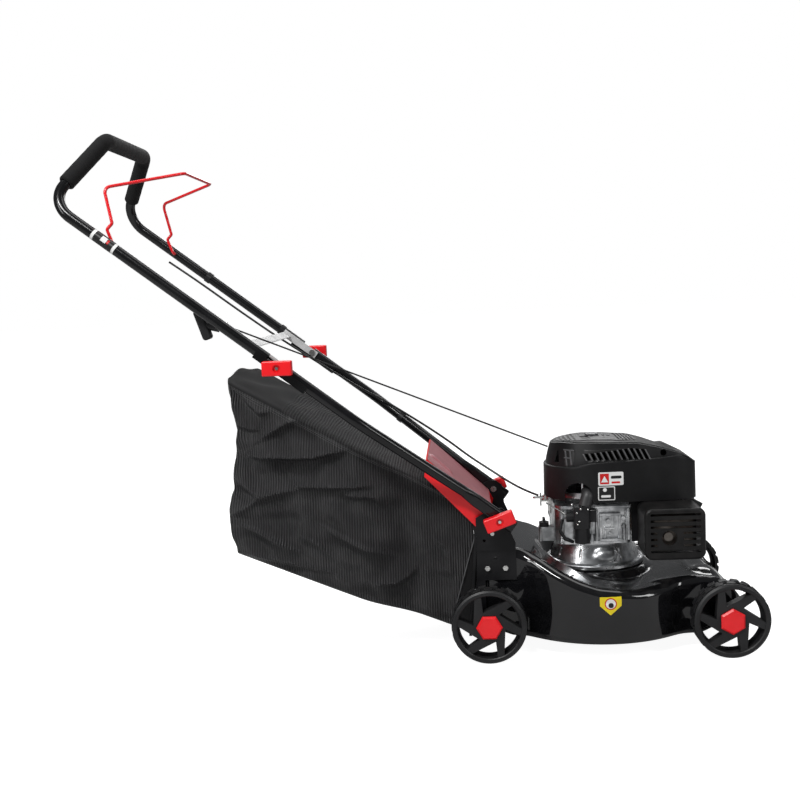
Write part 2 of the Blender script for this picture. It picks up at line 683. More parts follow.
def bagWall(look, u, a, b, inset=0.0, creased=True):
    # u runs from mouth to rear, and (a, b) round a square: a point of the square is drawn in to a rounded
    # one, a times the half width across and b times the half height between the top and bottom lines.
    square = look["lowCorner"] + (look["topCorner"] - look["lowCorner"]) * smoothStep(b, -0.4, 0.8)
    draw = (np.abs(a) ** square + np.abs(b) ** square) ** (-1 / square)
    across, down = a * draw, 0.5 - 0.5 * b * draw
    mouthX, mouthZ = (np.interp(down, [0, 0.23, 1], [p[k] for p in look["mouthLine"]]) for k in (0, 1))
    rearX = look["rearTop"][0] + look["waist"] * np.exp(-((down - 0.27) / 0.13) ** 2)
    rearX = rearX - look["belly"] * np.exp(-((down - 0.78) / 0.2) ** 2)
    rearZ = look["rearTop"][1] + (look["rearBottom"][1] - look["rearTop"][1]) * down
    x = mouthX + (rearX - mouthX) * u
    z = mouthZ + (rearZ - mouthZ) * u
    half = bagHalf(look, x)
    top, low = smoothStep(b * draw, 0.86, 0.99), smoothStep(-b * draw, 0.8, 0.97)
    flank = smoothStep(np.abs(across), 0.86, 0.99)
    crown = 1 - across**2
    z = z + top * crown * look["crown"] * u - low * crown * look["sag"] * np.sin(np.pi * u)
    x = x - look["rearCrown"] * crown * smoothStep(u, 0.8, 1.0) * np.exp(-(down / 0.35) ** 2)
    y = across * half
    y = y + np.sign(a) * flank * look["sideBelly"] * np.sin(np.pi * down) * np.sin(np.pi * u)
    if creased:
        dice = np.random.default_rng(look["seed"])
        ripple = np.zeros_like(x)
        for k in range(look["ripples"]):
            heading, wave, phase = dice.uniform(0, np.pi), dice.uniform(28, 90), dice.uniform(0, 2 * np.pi)
            ripple += np.sin((x * np.cos(heading) + z * np.sin(heading) + 0.3 * y) / wave * 2 * np.pi + phase)
        calm = smoothStep(u, 0.0, 0.12) * smoothStep(1 - np.abs(b * draw), 0.0, 0.12)
        flip = np.where(a > 0, 22.0, 0.0)  # the far side's folds lie a little lower
        folded = foldHeight(x, z + flip, look["folds"])
        y = y + np.sign(a) * flank * calm * (look["foldRise"] * folded - 7 + look["rippleHeight"] * ripple)
        z = z + top * smoothStep(u, 0.1, 0.3) * crown * (0.8 * ripple)
        edge = smoothStep(u, 0.90, 1.0) * (1 - top) * (1 - low)
        x = x + edge * 3.0 * np.sin(z / 31.0 + 1.3) + edge * 1.6 * np.sin(z / 11.0)
    return x, y * (1 - inset / look["rearHalf"]), z


def squareLoop(side, top):
    # Round a square from the near lower corner, up the near side, over the top and back below.
    rise = np.linspace(-1, 1, side, endpoint=False)
    run = np.linspace(-1, 1, top, endpoint=False)
    a = np.concatenate([-np.ones(side), run, np.ones(side), -run])
    b = np.concatenate([rise, np.ones(top), -rise, -np.ones(top)])
    return a, b


def makeBag(look):
    # The wall goes round the section and from mouth to rear, and the rear panel is the wall's last ring
    # drawn in.
    a, b = squareLoop(look["sideSteps"], look["topSteps"])
    u = np.linspace(0, 1, look["alongSteps"])[:, None]
    a2, b2 = np.broadcast_to(a, (len(u), len(a))), np.broadcast_to(b, (len(u), len(a)))
    x, y, z = bagWall(look, u, a2, b2)
    flatX = bagWall(look, u, a2, b2, creased=False)[0]
    points = np.stack([x, y, z], -1) * mm
    ring = points[-1]
    girth = np.concatenate([[0], np.cumsum(np.linalg.norm(np.diff(ring, axis=0), axis=1))])
    cloth = np.stack([flatX * mm, np.broadcast_to(girth, x.shape)], -1)
    faces = gridFaces(*x.shape, wrapColumns=True)
    wall = makePiece("bagCloth", points.reshape(-1, 3), faces, materials["bag_fabric"], "bag",
                     ("bag_body",), uv=cloth.reshape(-1, 2))
    plain = smoothStep(-x, -look["plainFrom"], -look["plainFrom"] + 12) * smoothStep(b2, 0.985, 1.0)
    topX, topZ, slope = look["gusset"]
    plain = np.maximum(plain, smoothStep(x - (topX - slope * (topZ - z)), 0, 3) * (z < topZ))
    # The top is matt, and so is what lies flat on it.
    for label, values in (("plain", plain), ("matt", np.maximum(plain, smoothStep(b2, 0.97, 1.0)))):
        layer = wall.data.attributes.new(label, "FLOAT", "POINT")
        layer.data.foreach_set("value", np.broadcast_to(values, x.shape).ravel().astype(np.float32))
    # Rear panel: rings that shrink to the middle, pushed out by a slow swell and small puckers near the rim.
    s = np.linspace(0, 1, look["capSteps"])[:, None, None]
    middle = ring.mean(0)
    panel = ring + (middle - ring) * s
    swell = np.sin(np.pi * s[..., 0] / 2) * 0.010
    pucker = 0.0016 * np.sin(girth / 0.021 * np.pi)[None] * np.exp(-((s[..., 0] - 0.1) / 0.08) ** 2)
    panel[..., 0] -= swell * (1 - 0.6 * s[..., 0]) - pucker
    rows, columns = panel.shape[:2]
    cloth = np.stack([panel[..., 1], panel[..., 2]], -1)
    faces = gridFaces(rows - 1, columns, wrapColumns=True).tolist()
    last = (rows - 2) * columns
    tip = (rows - 1) * columns
    faces += [[last + k, last + (k + 1) % columns, tip] for k in range(columns)]
    points = np.concatenate([panel[:-1].reshape(-1, 3), panel[-1:, 0]])
    cloth = np.concatenate([cloth[:-1].reshape(-1, 2), cloth[-1:, 0]])
    rear = makePiece("bagRearPanel", points, faces, materials["bag_fabric"], "bag", uv=cloth)
    layer = rear.data.attributes.new("plain", "FLOAT", "POINT")
    layer.data.foreach_set("value", np.zeros(len(points), np.float32))
    print("bag faces", len(wall.data.polygons) + len(rear.data.polygons))


makeBag(grassBag)

# ---- pressed steel deck

pressedDeck = {
    "axis": 373, "drum": 221, "rearReach": 249, "rearHalf": 149.6, "frontReach": 284, "frontHalf": 161.5,
    "square": 14.0, "rearSquare": 40.0, "join": 26.0, "hole": 74, "flange": 107, "pocket": 128, "seat": 149.6,
    # Height of the top along the mower: a hump over the outlet, a dip beside the blade, then the nose.
    "crest": [(118, 225), (160, 222), (200, 215), (238, 201), (277, 177), (316, 158), (355, 145),
              (434, 136), (513, 143), (560, 148), (598, 147), (622, 128), (642, 98), (657, 80)],
    "shoulder": 20, "hem": 33, "frontHem": 46, "rearHem": 44, "hemRoll": 1.6,
    "turnSteps": 420, "topSteps": 44, "shoulderSteps": 9, "skirtSteps": 12,
    "outletHalf": 138, "wall": 1.6 * mm,
    # Pressed swells: x, y, length, width, height.
    "swells": [(596, -98, 30, 34, 7.5), (596, 98, 30, 34, 7.5), (556, -30, 8, 70, 3),
               (520, -150, 46, 12, 4), (520, 150, 46, 12, 4)],
}


def softLine(value, points, soft=9.0):
    # A bent line rounded at its corners: the mean of the line taken at several places about the value.
    xs, zs = np.array(points, float).T
    spots = np.linspace(-1.6, 1.6, 9)
    weight = np.exp(-spots**2)
    return sum(w * np.interp(value + soft * s, xs, zs) for s, w in zip(spots, weight)) / weight.sum()


def deckOutline(look, turn):
    # The larger of a circle and two rounded boxes, one each way, eased where they cross.
    c, s = np.cos(turn), np.sin(turn)
    q = look["join"]

    def box(reach, half, facing, p):
        return (np.abs(np.maximum(facing, 0) / reach) ** p + np.abs(s / half) ** p + 1e-300) ** (-1 / p)

    rear = box(look["rearReach"], look["rearHalf"], -c, look["rearSquare"])
    rear = np.where(c < 0, rear, look["rearHalf"] * 0.6)
    front = box(look["frontReach"], look["frontHalf"], c, look["square"])
    front = np.where(c > 0, front, look["frontHalf"] * 0.6)
    return (look["drum"] ** q + rear ** q + front ** q) ** (1 / q)


def deckTop(look, x, y):
    # The crest line over the whole width, flat where the engine sits, with swells added.
    height = softLine(x, look["crest"])
    for cx, cy, length, width, rise in look["swells"]:
        height = height + rise * np.exp(-(((x - cx) / length) ** 2 + ((y - cy) / width) ** 2) ** 2)
    reach = np.hypot(x - look["axis"], y)
    away = smoothStep(reach, look["flange"], look["pocket"])
    return look["seat"] + (height - look["seat"]) * away


def makeDeck(look):
    turn = np.linspace(0, 2 * np.pi, look["turnSteps"], endpoint=False)
    outline = deckOutline(look, turn)
    c, s = np.cos(turn), np.sin(turn)
    bendRadius = look["shoulder"]
    # Top: radii from the hole to where the shoulder starts.
    part = np.linspace(0, 1, look["topSteps"])[:, None]
    radius = look["hole"] + (outline - bendRadius - look["hole"]) * part
    x, y = look["axis"] + radius * c, radius * s
    z = deckTop(look, x, y)
    # Shoulder: a quarter turn, tangent to the skirt, that starts at the top's own slope.
    bend = np.linspace(0, np.pi / 2, look["shoulderSteps"] + 1)[1:, None]
    shoulderR = outline - bendRadius + bendRadius * np.sin(bend)
    edgeZ = z[-1]
    shoulderZ = edgeZ - bendRadius * (1 - np.cos(bend))
    # Skirt: straight down to the hem, which rolls a little outwards.
    hem = look["hem"] + (look["frontHem"] - look["hem"]) * smoothStep(look["axis"] + outline * c, 560, 600)
    hem = hem + (look["rearHem"] - look["hem"]) * smoothStep(-(look["axis"] + outline * c), -190, -150)
    fall = np.linspace(0, 1, look["skirtSteps"] + 1)[1:, None]
    skirtZ = shoulderZ[-1] + (hem - shoulderZ[-1]) * fall
    roll = look["hemRoll"] * smoothStep(fall, 0.88, 0.97)
    skirtR = outline - 2.0 + 1.0 * (1 - fall) + roll
    shoulderR = np.minimum(shoulderR, outline - 1.0)
    allR = np.concatenate([radius, shoulderR, skirtR])
    allZ = np.concatenate([z, shoulderZ, skirtZ])
    points = np.stack([look["axis"] + allR * c, allR * s, allZ], -1) * mm
    rows, columns = allR.shape
    faces = gridFaces(rows, columns, wrapColumns=True)
    # The outlet: the skirt's faces at the back, below the rim, are left out.
    middle = points.reshape(-1, 3)[faces].mean(1) / mm
    outlet = (middle[:, 0] < 135) & (np.abs(middle[:, 1]) < look["outletHalf"]) & (middle[:, 2] < 203)
    faces = faces[~outlet][:, ::-1]
    deck = makePiece("deckShell", points.reshape(-1, 3), faces, materials["gloss_black_steel"], "root",
                     ("deck_shell",))
    thicken(deck, look["wall"])
    return deck


def thicken(piece, wall):
    # Gives a surface its wall, inwards.
    shell = piece.modifiers.new("wall", "SOLIDIFY")
    shell.thickness = wall
    shell.offset = -1
    return shell


deckPiece = makeDeck(pressedDeck)
print("deck ready")


# ---- engine shroud

shroud = {
    "backCentre": 379, "backRadius": 112, "nose": [(379, 112), (545, 104), (579, 84)],
    "low": 298, "count": 520, "ease": 9,
    "tier": [(262, 366), (321, 370), (354, 379), (418, 382), (505, 386), (540, 390), (579, 372)],
    "edge": [(262, 412), (286, 419), (351, 421), (457, 417), (493, 409), (549, 393), (581, 375)],
    "crown": [(262, 405), (286, 416), (351, 423), (400, 423), (457, 416), (493, 407), (549, 389),
              (581, 371)],
    "farDrop": (5, 7),  # the top's far edge lies lower, more so at the nose
    "ledge": 4.5, "lean": 15.0, "leanNose": 5.0, "wall": 2.2 * mm,
    "slots": 11, "slotFrom": 349, "slotPitch": 11.6, "slotWidth": 6.2, "slotLow": 385, "slotHigh": 408,
    "slotSlant": 0.46,
    "archX": 332, "archZ": 312, "archRadius": 27, "recess": (508, 397, 6.5),
    "ropeOutlet": [(272, 376), (272, 398), (296, 402), (296, 378)],
}


def shroudOutline(look):
    # A half circle behind and straight sides to a blunt nose, spaced evenly, its corners eased by averaging.
    arc = np.linspace(np.pi / 2, 3 * np.pi / 2, 120)
    radius = look["backRadius"]
    back = np.stack([look["backCentre"] + radius * np.cos(arc), radius * np.sin(arc)], -1)
    near = np.array([(x, -y) for x, y in look["nose"][1:]], float)
    far = near[::-1] * (1, -1)
    loop = np.concatenate([back, near, far, back[:1]])
    run = np.concatenate([[0], np.cumsum(np.linalg.norm(np.diff(loop, axis=0), axis=1))])
    even = np.linspace(0, run[-1], look["count"], endpoint=False)
    line = np.stack([np.interp(even, run, loop[:, k]) for k in (0, 1)], -1)
    ease = look["ease"]
    eased = sum(np.roll(line, k, axis=0) for k in range(-ease, ease + 1)) / (2 * ease + 1)
    tangent = np.roll(eased, -1, axis=0) - np.roll(eased, 1, axis=0)
    tangent /= np.linalg.norm(tangent, axis=1, keepdims=True)
    inward = np.stack([-tangent[:, 1], tangent[:, 0]], -1)
    return eased, inward


def shroudRings(look):
    # Rings from the lower edge up: the wall, a ledge, a leaning band, a rounded edge and the crowned top.
    line, inward = shroudOutline(look)
    x0 = line[:, 0]
    tier, edge = softLine(x0, look["tier"], 6), softLine(x0, look["edge"], 6)
    drop = look["farDrop"][0] + look["farDrop"][1] * smoothStep(x0, 460, 560)
    edge = np.maximum(edge - drop * smoothStep(line[:, 1], -30, 80), tier + 1.5)
    lean = look["lean"] + (look["leanNose"] - look["lean"]) * smoothStep(x0, 470, 560)
    rings = []
    for t in np.linspace(0, 1, 14):
        rings.append((line + inward * (0.8 * t), look["low"] + (tier - look["low"]) * t))
    for t in np.linspace(0, 1, 5)[1:]:
        turn = t * np.pi / 2
        rings.append((line + inward * (0.8 + look["ledge"] * (1 - np.cos(turn))), tier + 2.0 * np.sin(turn)))
    start = 0.8 + look["ledge"]
    for t in np.linspace(0, 1, 12)[1:]:
        inset = start + (lean - look["ledge"]) * t ** 1.3
        rings.append((line + inward * inset[:, None], tier + 2.0 + (edge - tier - 2.0) * t))
    last = start + lean - look["ledge"]
    for t in np.linspace(0, 1, 6)[1:]:
        turn = t * np.pi / 2
        rings.append((line + inward * (last + 6 * np.sin(turn))[:, None], edge + 2.2 * (1 - np.cos(turn))))
    rim, rimZ = rings[-1]
    spine = np.stack([np.clip(rim[:, 0], 345, 505), np.zeros(len(rim))], -1)
    for t in np.linspace(0, 1, 26)[1:]:
        place = rim + (spine - rim) * t
        crown = softLine(place[:, 0], look["crown"], 8)
        rings.append((place, rimZ + (crown - rimZ) * (1 - (1 - t) ** 2.2)))
    return rings


def prism(outline, depth, axis=1):
    # A flat outline carried from one depth to another along y (1) or z (2), closed: its points and faces.
    outline = np.array(outline, float)
    count = len(outline)
    ends = [np.insert(outline, axis, d, axis=1) for d in depth]
    k = np.arange(count)
    nextK = (k + 1) % count
    sides = np.stack([k, nextK, nextK + count, k + count], -1).tolist()
    return np.concatenate(ends) * mm, sides + [k[::-1].tolist(), (k + count).tolist()]


def joined(parts):
    # Several (points, faces) pairs as one pair, their points one after another.
    starts = np.cumsum([0] + [len(points) for points, faces in parts])
    faces = [[start + i for i in face] for start, (points, own) in zip(starts, parts) for face in own]
    return np.concatenate([points for points, own in parts]), faces


def applyModifiers(piece):
    # The piece's mesh becomes what its modifiers make of it.
    view = bpy.context.evaluated_depsgraph_get()
    mesh = bpy.data.meshes.new_from_object(piece.evaluated_get(view))
    piece.modifiers.clear()
    piece.data = mesh
    return mesh


def cutAway(piece, parts):
    # Takes the prisms' volume out of the piece.
    points, faces = joined(parts)
    cutterMesh = bpy.data.meshes.new("cutter")
    cutterMesh.from_pydata(points.tolist(), [], faces)
    cutter = bpy.data.objects.new("cutter", cutterMesh)
    bpy.context.scene.collection.objects.link(cutter)
    cut = piece.modifiers.new("cut", "BOOLEAN")
    cut.operation = "DIFFERENCE"
    cut.solver = "FAST"
    cut.object = cutter
    applyModifiers(piece)
    bpy.data.objects.remove(cutter)
    piece.data.set_sharp_from_angle(angle=math.radians(38))


def slotPlace(look, k):
    # Where the shroud's slot k starts, and how low and high it runs: longest at the ninth.
    return look["slotFrom"] + look["slotPitch"] * k, look["slotLow"], look["slotHigh"] - 1.1 * abs(k - 8)


def makeShroud(look):
    rings = shroudRings(look)
    points = np.array([np.column_stack([p, np.broadcast_to(z, len(p))]) for p, z in rings]) * mm
    rows, columns = points.shape[:2]
    faces = gridFaces(rows, columns, wrapColumns=True)
    piece = makePiece("engineShroud", points.reshape(-1, 3), faces, materials["housing_plastic"], "root",
                      ("blower_housing",))
    thicken(piece, look["wall"])
    cutters = []
    half = look["slotWidth"] / 2
    for k in range(look["slots"]):
        x, low, high = slotPlace(look, k)
        shift = look["slotSlant"] * (high - low)
        slot = [(x - half, high), (x + half, high), (x + shift + half, low), (x + shift - half, low)]
        cutters.append(prism(slot, (-70, -125)))
    turn = np.linspace(0, np.pi, 25)
    archX, archZ, reach = look["archX"], look["archZ"], look["archRadius"]
    arch = [(archX + reach * math.cos(t), archZ + reach * math.sin(t)) for t in turn]
    arch += [(archX - reach, look["low"] - 10), (archX + reach, look["low"] - 10)]
    cutters.append(prism(arch, (-60, -130)))
    knobX, knobZ, knobRadius = look["recess"]
    turn = np.linspace(0, 2 * np.pi, 33)[:-1]
    cutters.append(prism(np.stack([knobX + knobRadius * np.cos(turn), knobZ + knobRadius * np.sin(turn)], -1),
                         (-50, -130)))
    cutters.append(prism(look["ropeOutlet"], (-50, -130)))
    cutAway(piece, cutters)
    return piece


shroudPiece = makeShroud(shroud)
print("shroud faces", len(shroudPiece.data.polygons))


def layOn(piece, target, axis, lift, wall=0.0):
    # Drops a flat piece onto a surface along one axis, a small lift above it, and gives it a thickness.
    wrap = piece.modifiers.new("layOn", "SHRINKWRAP")
    wrap.wrap_method = "PROJECT"
    wrap.target = target
    wrap.use_project_x, wrap.use_project_y, wrap.use_project_z = (axis == k for k in range(3))
    wrap.use_negative_direction = wrap.use_positive_direction = True
    wrap.wrap_mode = "ABOVE_SURFACE"
    wrap.offset = lift
    if wall:
        thicken(piece, wall).offset = 1
    applyModifiers(piece)


def roundedSpan(x0, x1, z0, z1, radius):
    # Heights of a rounded rectangle with its left and right edge at each.
    turn = np.linspace(0, np.pi / 2, 9)
    drawn = radius * (1 - np.sin(turn))
    low, high = z0 + radius * (1 - np.cos(turn)), z1 - radius * (1 - np.cos(turn))
    drawn = np.concatenate([drawn, drawn[::-1]])
    return np.concatenate([low, high[::-1]]), x0 + drawn, x1 - drawn


def spanPatch(name, span, depth, material, body, axis=1, across=16, replaced=()):
    # A patch between a left and a right edge at each height, laid flat at a depth along y (1) or z (2).
    levels, lefts, rights = (np.asarray(v, float) for v in span)
    part = np.linspace(0, 1, across)[None]
    first = lefts[:, None] + (rights - lefts)[:, None] * part
    second = np.broadcast_to(levels[:, None], first.shape)
    flat = np.full(first.shape, float(depth))
    order = (first, flat, second) if axis == 1 else (first, second, flat)
    points = np.stack(order, -1).reshape(-1, 3) * mm
    return makePiece(name, points, gridFaces(*first.shape), material, body, replaced)


def manyLevels(points, count=14):
    # Fills in a span given by a few corner heights.
    levels, lefts, rights = np.array(points, float).T
    full = np.union1d(np.linspace(levels[0], levels[-1], count), levels)
    return full, np.interp(full, levels, lefts), np.interp(full, levels, rights)


# ---- seams, piping and stitches of the bag

bagTrim = {
    "pipe": [(111.5, 241), (92, 178), (74, 118), (58, 66)], "pipeRadius": 1.2, "pipeOut": 1.6, "steps": 60,
    "stitchPitch": 4.2, "stitchLength": 2.7, "stitchHalf": 0.38, "rows": (0.955, 0.925), "rise": 0.5,
}

grippedFoam = {
    "radius": 16.6, "bore": 11.4, "start": 55.0, "neck": (-692, -240, 954.9), "corner": (-607, -131, 1082),
    "bend": 30.0, "steps": 190, "sides": 40, "creases": 26,
}


def makeTrim(look, bag):
    # Piping: a thin tube down each side just outside the cloth.
    pipeX, pipeZ = np.array(look["pipe"], float).T
    z = np.linspace(pipeZ[0], pipeZ[-1], look["steps"])
    x = np.interp(-z, -pipeZ, pipeX)
    for side, sign in (("Right", -1), ("Left", 1)):
        line = np.stack([x, sign * (bagHalf(bag, x) + look["pipeOut"]), z], -1) * mm
        rings = tubeGrid(line, look["pipeRadius"] * mm, 8)
        faces = gridFaces(*rings.shape[:2], wrapColumns=True).tolist() + endCaps(*rings.shape[:2])
        makePiece("piping" + side, rings.reshape(-1, 3), faces, materials["piping"], "bag")
    # Stitches: small bars end to end along two lines below each upper edge.
    u = np.linspace(0.02, 0.985, 400)
    blocks = []
    for sign in (-1.0, 1.0):
        for level in look["rows"]:
            x, y, z = bagWall(bag, u, np.full_like(u, sign), np.full_like(u, level))
            blocks.append(stitchRow(np.stack([x, y + sign * look["rise"], z], -1), look))
    points, faces = joined(blocks)
    makePiece("topStitches", points, faces, materials["thread"], "bag", smooth=False)


def stitchRow(line, look):
    # Bars of one length at one pitch along a line: eight corners each, from the line's tangent and two
    # lines across it.
    run = np.concatenate([[0], np.cumsum(np.linalg.norm(np.diff(line, axis=0), axis=1))])
    starts = np.arange(0, run[-1] - look["stitchLength"], look["stitchPitch"])
    ends = [np.stack([np.interp(starts + d, run, line[:, k]) for k in range(3)], -1)
            for d in (0, look["stitchLength"])]
    tangent = ends[1] - ends[0]
    tangent /= np.linalg.norm(tangent, axis=1, keepdims=True)
    across = np.cross(tangent, (0, 1, 0))
    out = np.cross(across, tangent)
    half = look["stitchHalf"]
    corners = [e + half * (i * across + j * out)
               for e in ends for i, j in ((-1, -1), (1, -1), (1, 1), (-1, 1))]
    points = np.stack(corners, 1).reshape(-1, 3) * mm
    box = np.array([(0, 1, 2, 3), (4, 7, 6, 5), (0, 4, 5, 1), (1, 5, 6, 2), (2, 6, 7, 3), (3, 7, 4, 0)])
    faces = (np.arange(len(starts))[:, None, None] * 8 + box).reshape(-1, 4)
    return points, faces.tolist()


trimTones = {
    "piping": {
        "tone": solid(0.11, 0.11, 0.115), "second": solid(0.07, 0.07, 0.073), "rough": 0.6, "bump": 0.3},
    "thread": {
        "tone": solid(0.15, 0.15, 0.15), "second": solid(0.1, 0.1, 0.1), "rough": 0.7, "bump": 0.2},
    "labelWhite": {
        "tone": solid(0.8, 0.8, 0.79), "second": solid(0.72, 0.72, 0.71), "rough": 0.35, "bump": 0.02},
    "labelRed": {
        "tone": solid(0.6, 0.006, 0.006), "second": solid(0.52, 0.005, 0.005), "rough": 0.35, "bump": 0.02},
    "labelBlack": {
        "tone": solid(0.004, 0.004, 0.004), "second": solid(0.007, 0.007, 0.007),
        "rough": 0.35, "bump": 0.02},
    "labelYellow": {
        "tone": solid(0.85, 0.68, 0.01), "second": solid(0.78, 0.6, 0.01), "rough": 0.35, "bump": 0.02},
    "labelOlive": {
        "tone": solid(0.36, 0.33, 0.13), "second": solid(0.3, 0.27, 0.1),
        "rough": 0.5, "bump": 0.02, "patch": 60},
    "flapRose": {
        "tone": solid(0.36, 0.105, 0.125), "second": solid(0.31, 0.085, 0.1),
        "rough": 0.42, "spread": 0.12, "bump": 0.05},
    "greyDuct": {
        "tone": solid(0.035, 0.035, 0.036), "second": solid(0.022, 0.022, 0.023),
        "rough": 0.45, "spread": 0.15, "bump": 0.1},
    "grilleSet": {
        "tone": solid(0.075, 0.075, 0.078), "second": solid(0.055, 0.055, 0.057),
        "rough": 0.45, "grain": 1800, "bump": 0.1, "dust": 0.1},
}
materials.update({name: makeFinish(name, look) for name, look in trimTones.items()})
makeTrim(bagTrim, grassBag)


# ---- foam grip

def bentLine(corners, radius, spacing):
    # Straight runs joined by arcs: at each corner the arc starts radius times tan(half the turn) before it.
    corners = np.array(corners, float)
    pieces = [corners[:1]]
    for before, corner, after in zip(corners, corners[1:], corners[2:]):
        a, b = (step / np.linalg.norm(step) for step in (corner - before, after - corner))
        turn = math.acos(float(np.clip(a @ b, -1, 1)))
        reach = radius * math.tan(turn / 2)
        across = b - a * (a @ b)
        across /= np.linalg.norm(across)
        t = np.linspace(0, turn, 14)[:, None]
        pieces.append(corner - a * reach + radius * (a * np.sin(t) + across * (1 - np.cos(t))))
    pieces.append(corners[-1:])
    line = np.concatenate(pieces)
    run = np.concatenate([[0], np.cumsum(np.linalg.norm(np.diff(line, axis=0), axis=1))])
    even = np.linspace(0, run[-1], max(int(run[-1] / spacing), 2))
    return np.stack([np.interp(even, run, line[:, k]) for k in range(3)], -1)


def makeFoam(look):
    # A sleeve of foam: rounded ends, a slow swell and faint creases, thinnest inside the two bends.
    neck, corner = np.array(look["neck"], float), np.array(look["corner"], float)
    start = neck + (corner - neck) / np.linalg.norm(corner - neck) * look["start"]
    flip = np.array([1, -1, 1])
    line = bentLine([start, corner, corner * flip, start * flip], look["bend"], 2.6)
    t = np.linspace(0, 1, len(line))
    edge = np.minimum(t, 1 - t) * 560
    end = np.sqrt(np.clip(1 - (1 - np.clip(edge / 4.0, 0, 1)) ** 2, 0, 1))
    crease = 0.12 * np.sin(t * look["creases"] * 2 * np.pi + 2 * np.sin(t * 31)) * smoothStep(edge, 5, 20)
    radius = look["radius"] - 2.2 * (1 - end) - 0.25 + crease
    rings = tubeGrid(line * mm, radius * mm, look["sides"], (1.0, 0.0, 0.3))
    middle = (line * mm)[:, None]
    closeStart = middle[:1] + (rings[:1] - middle[:1]) * (look["bore"] / radius[0])
    closeEnd = middle[-1:] + (rings[-1:] - middle[-1:]) * (look["bore"] / radius[-1])
    rings = np.concatenate([closeStart, rings, closeEnd])
    faces = gridFaces(*rings.shape[:2], wrapColumns=True)
    foam = makePiece("foamSleeve", rings.reshape(-1, 3), faces, materials["foam"], "upper_handle",
                     ("foam_grip",))


makeFoam(grippedFoam)


# ---- labels: plain shapes without lettering

labelShapes = {
    # Each: name, span, finish, lift in mm. The near wall of the shroud, seen as x and z.
    "shroud": [
        ("warningLabel", roundedSpan(371, 423, 334, 362, 3.0), "labelWhite", 0.25),
        ("warningBlock", roundedSpan(374.5, 393, 337, 359, 0.6), "labelRed", 0.45),
        ("warningMark", manyLevels([(341, 376.5, 391), (354, 383.6, 384)], 8), "labelWhite", 0.65),
        ("warningBar", roundedSpan(397, 419, 348, 354, 2.4), "labelBlack", 0.45),
        ("warningFoot", roundedSpan(398, 416, 338, 342, 1.6), "labelRed", 0.45),
        ("panelLabel", roundedSpan(370, 405, 303, 332, 2.5), "labelWhite", 0.25),
        ("panelField", roundedSpan(371.8, 403.2, 304.8, 330.2, 1.5), "labelBlack", 0.45),
        ("panelDisc", roundedSpan(380, 388, 321, 329, 4.0), "labelWhite", 0.65),
        ("panelBar", roundedSpan(376, 396, 309, 314, 2.2), "labelWhite", 0.65),
    ],
    "deck": [
        ("bladeLabel", manyLevels([(93, 374.6, 375.4), (112, 354, 397), (130, 354, 397)]),
         "labelYellow", 0.3),
        ("bladeRing", roundedSpan(363.5, 387.5, 104, 128, 12), "labelRed", 0.5),
        ("bladeDisc", roundedSpan(365.7, 385.3, 106.2, 125.8, 9.8), "labelWhite", 0.7),
        ("bladeMark", roundedSpan(371, 381, 108, 118, 4.0), "labelBlack", 0.9),
    ],
}


def makeLabels(shapes, target, depth, body):
    for name, span, finish, lift in shapes:
        layOn(spanPatch(name, span, depth, materials[finish], body), target, 1, lift * mm)


makeLabels(labelShapes["shroud"], shroudPiece, -150, "root")
makeLabels(labelShapes["deck"], deckPiece, -260, "root")

tubeLabel = {
    "start": (-609, -240), "end": (-566, -240), "radius": 11.25, "slope": 0.782, "pivot": (-258, 615.5),
    # Name, from and to along the label, finish, lift, reach in degrees.
    "bands": [("gripLabel", 0.0, 1.0, "labelWhite", 0.0, 105),
              ("gripField", 0.11, 0.89, "labelBlack", 0.2, 96),
              ("gripMark", 0.38, 0.60, "labelWhite", 0.35, 30),
              ("gripDot", 0.62, 0.70, "labelRed", 0.35, 22)],
}


def makeTubeLabel(look):
    # Bands bent round the outer side of the near tube: an angle each way of the outward line, along the tube.
    along = np.array([-1, 0, look["slope"]]) / math.hypot(1, look["slope"])
    upward = np.array([look["slope"], 0, 1]) / math.hypot(1, look["slope"])
    pivotX, pivotZ = look["pivot"]
    x0, x1 = look["start"][0], look["end"][0]
    for name, low, high, finish, lift, reach in look["bands"]:
        x = x0 + (x1 - x0) * np.linspace(low, high, 10)[:, None]
        turn = np.radians(np.linspace(-reach, reach, 30))[None] + math.radians(28)
        radius = look["radius"] + lift
        centre = np.stack([x, np.full_like(x, look["start"][1]), pivotZ - look["slope"] * (x - pivotX)], -1)
        ring = radius * (np.cos(turn)[..., None] * np.array([0, -1, 0]) + np.sin(turn)[..., None] * upward)
        points = (centre + ring).reshape(-1, 3) * mm
        makePiece(name, points, gridFaces(10, 30), materials[finish], "upper_handle")


makeTubeLabel(tubeLabel)

flapSticker = {"from": (70, 359.4), "to": (118, 314.1), "half": 108, "lift": 0.5}


def makeFlapSticker(look):
    # A band across the flap's top, parallel to it.
    (x0, z0), (x1, z1) = look["from"], look["to"]
    rise = np.array([z0 - z1, x1 - x0]) / math.hypot(x1 - x0, z0 - z1) * look["lift"]
    x, z = np.array([x0, x1]) + rise[0], np.array([z0, z1]) + rise[1]
    points = np.array([(a, b, c) for a, c in zip(x, z) for b in (-look["half"], look["half"])]) * mm
    makePiece("flapSticker", points, [[0, 2, 3, 1]], materials["labelOlive"], "flap")


makeFlapSticker(flapSticker)
print("labels ready")


# ---- slotted patch on the shroud's crown, and small parts of the engine's near side

crownPatch = {
    "span": (297, 466, -66, 66, 58), "wall": 1.2 * mm,
    "longSlots": [(305, 44), (314, 52), (323, 58), (332, 60), (424, 60), (432, 58), (440, 54), (448, 48),
                  (456, 40)],
    "slotHalf": 2.1, "blocks": [(346, 364), (370, 388), (394, 412)], "blockRows": [(-52, -8), (8, 52)],
}


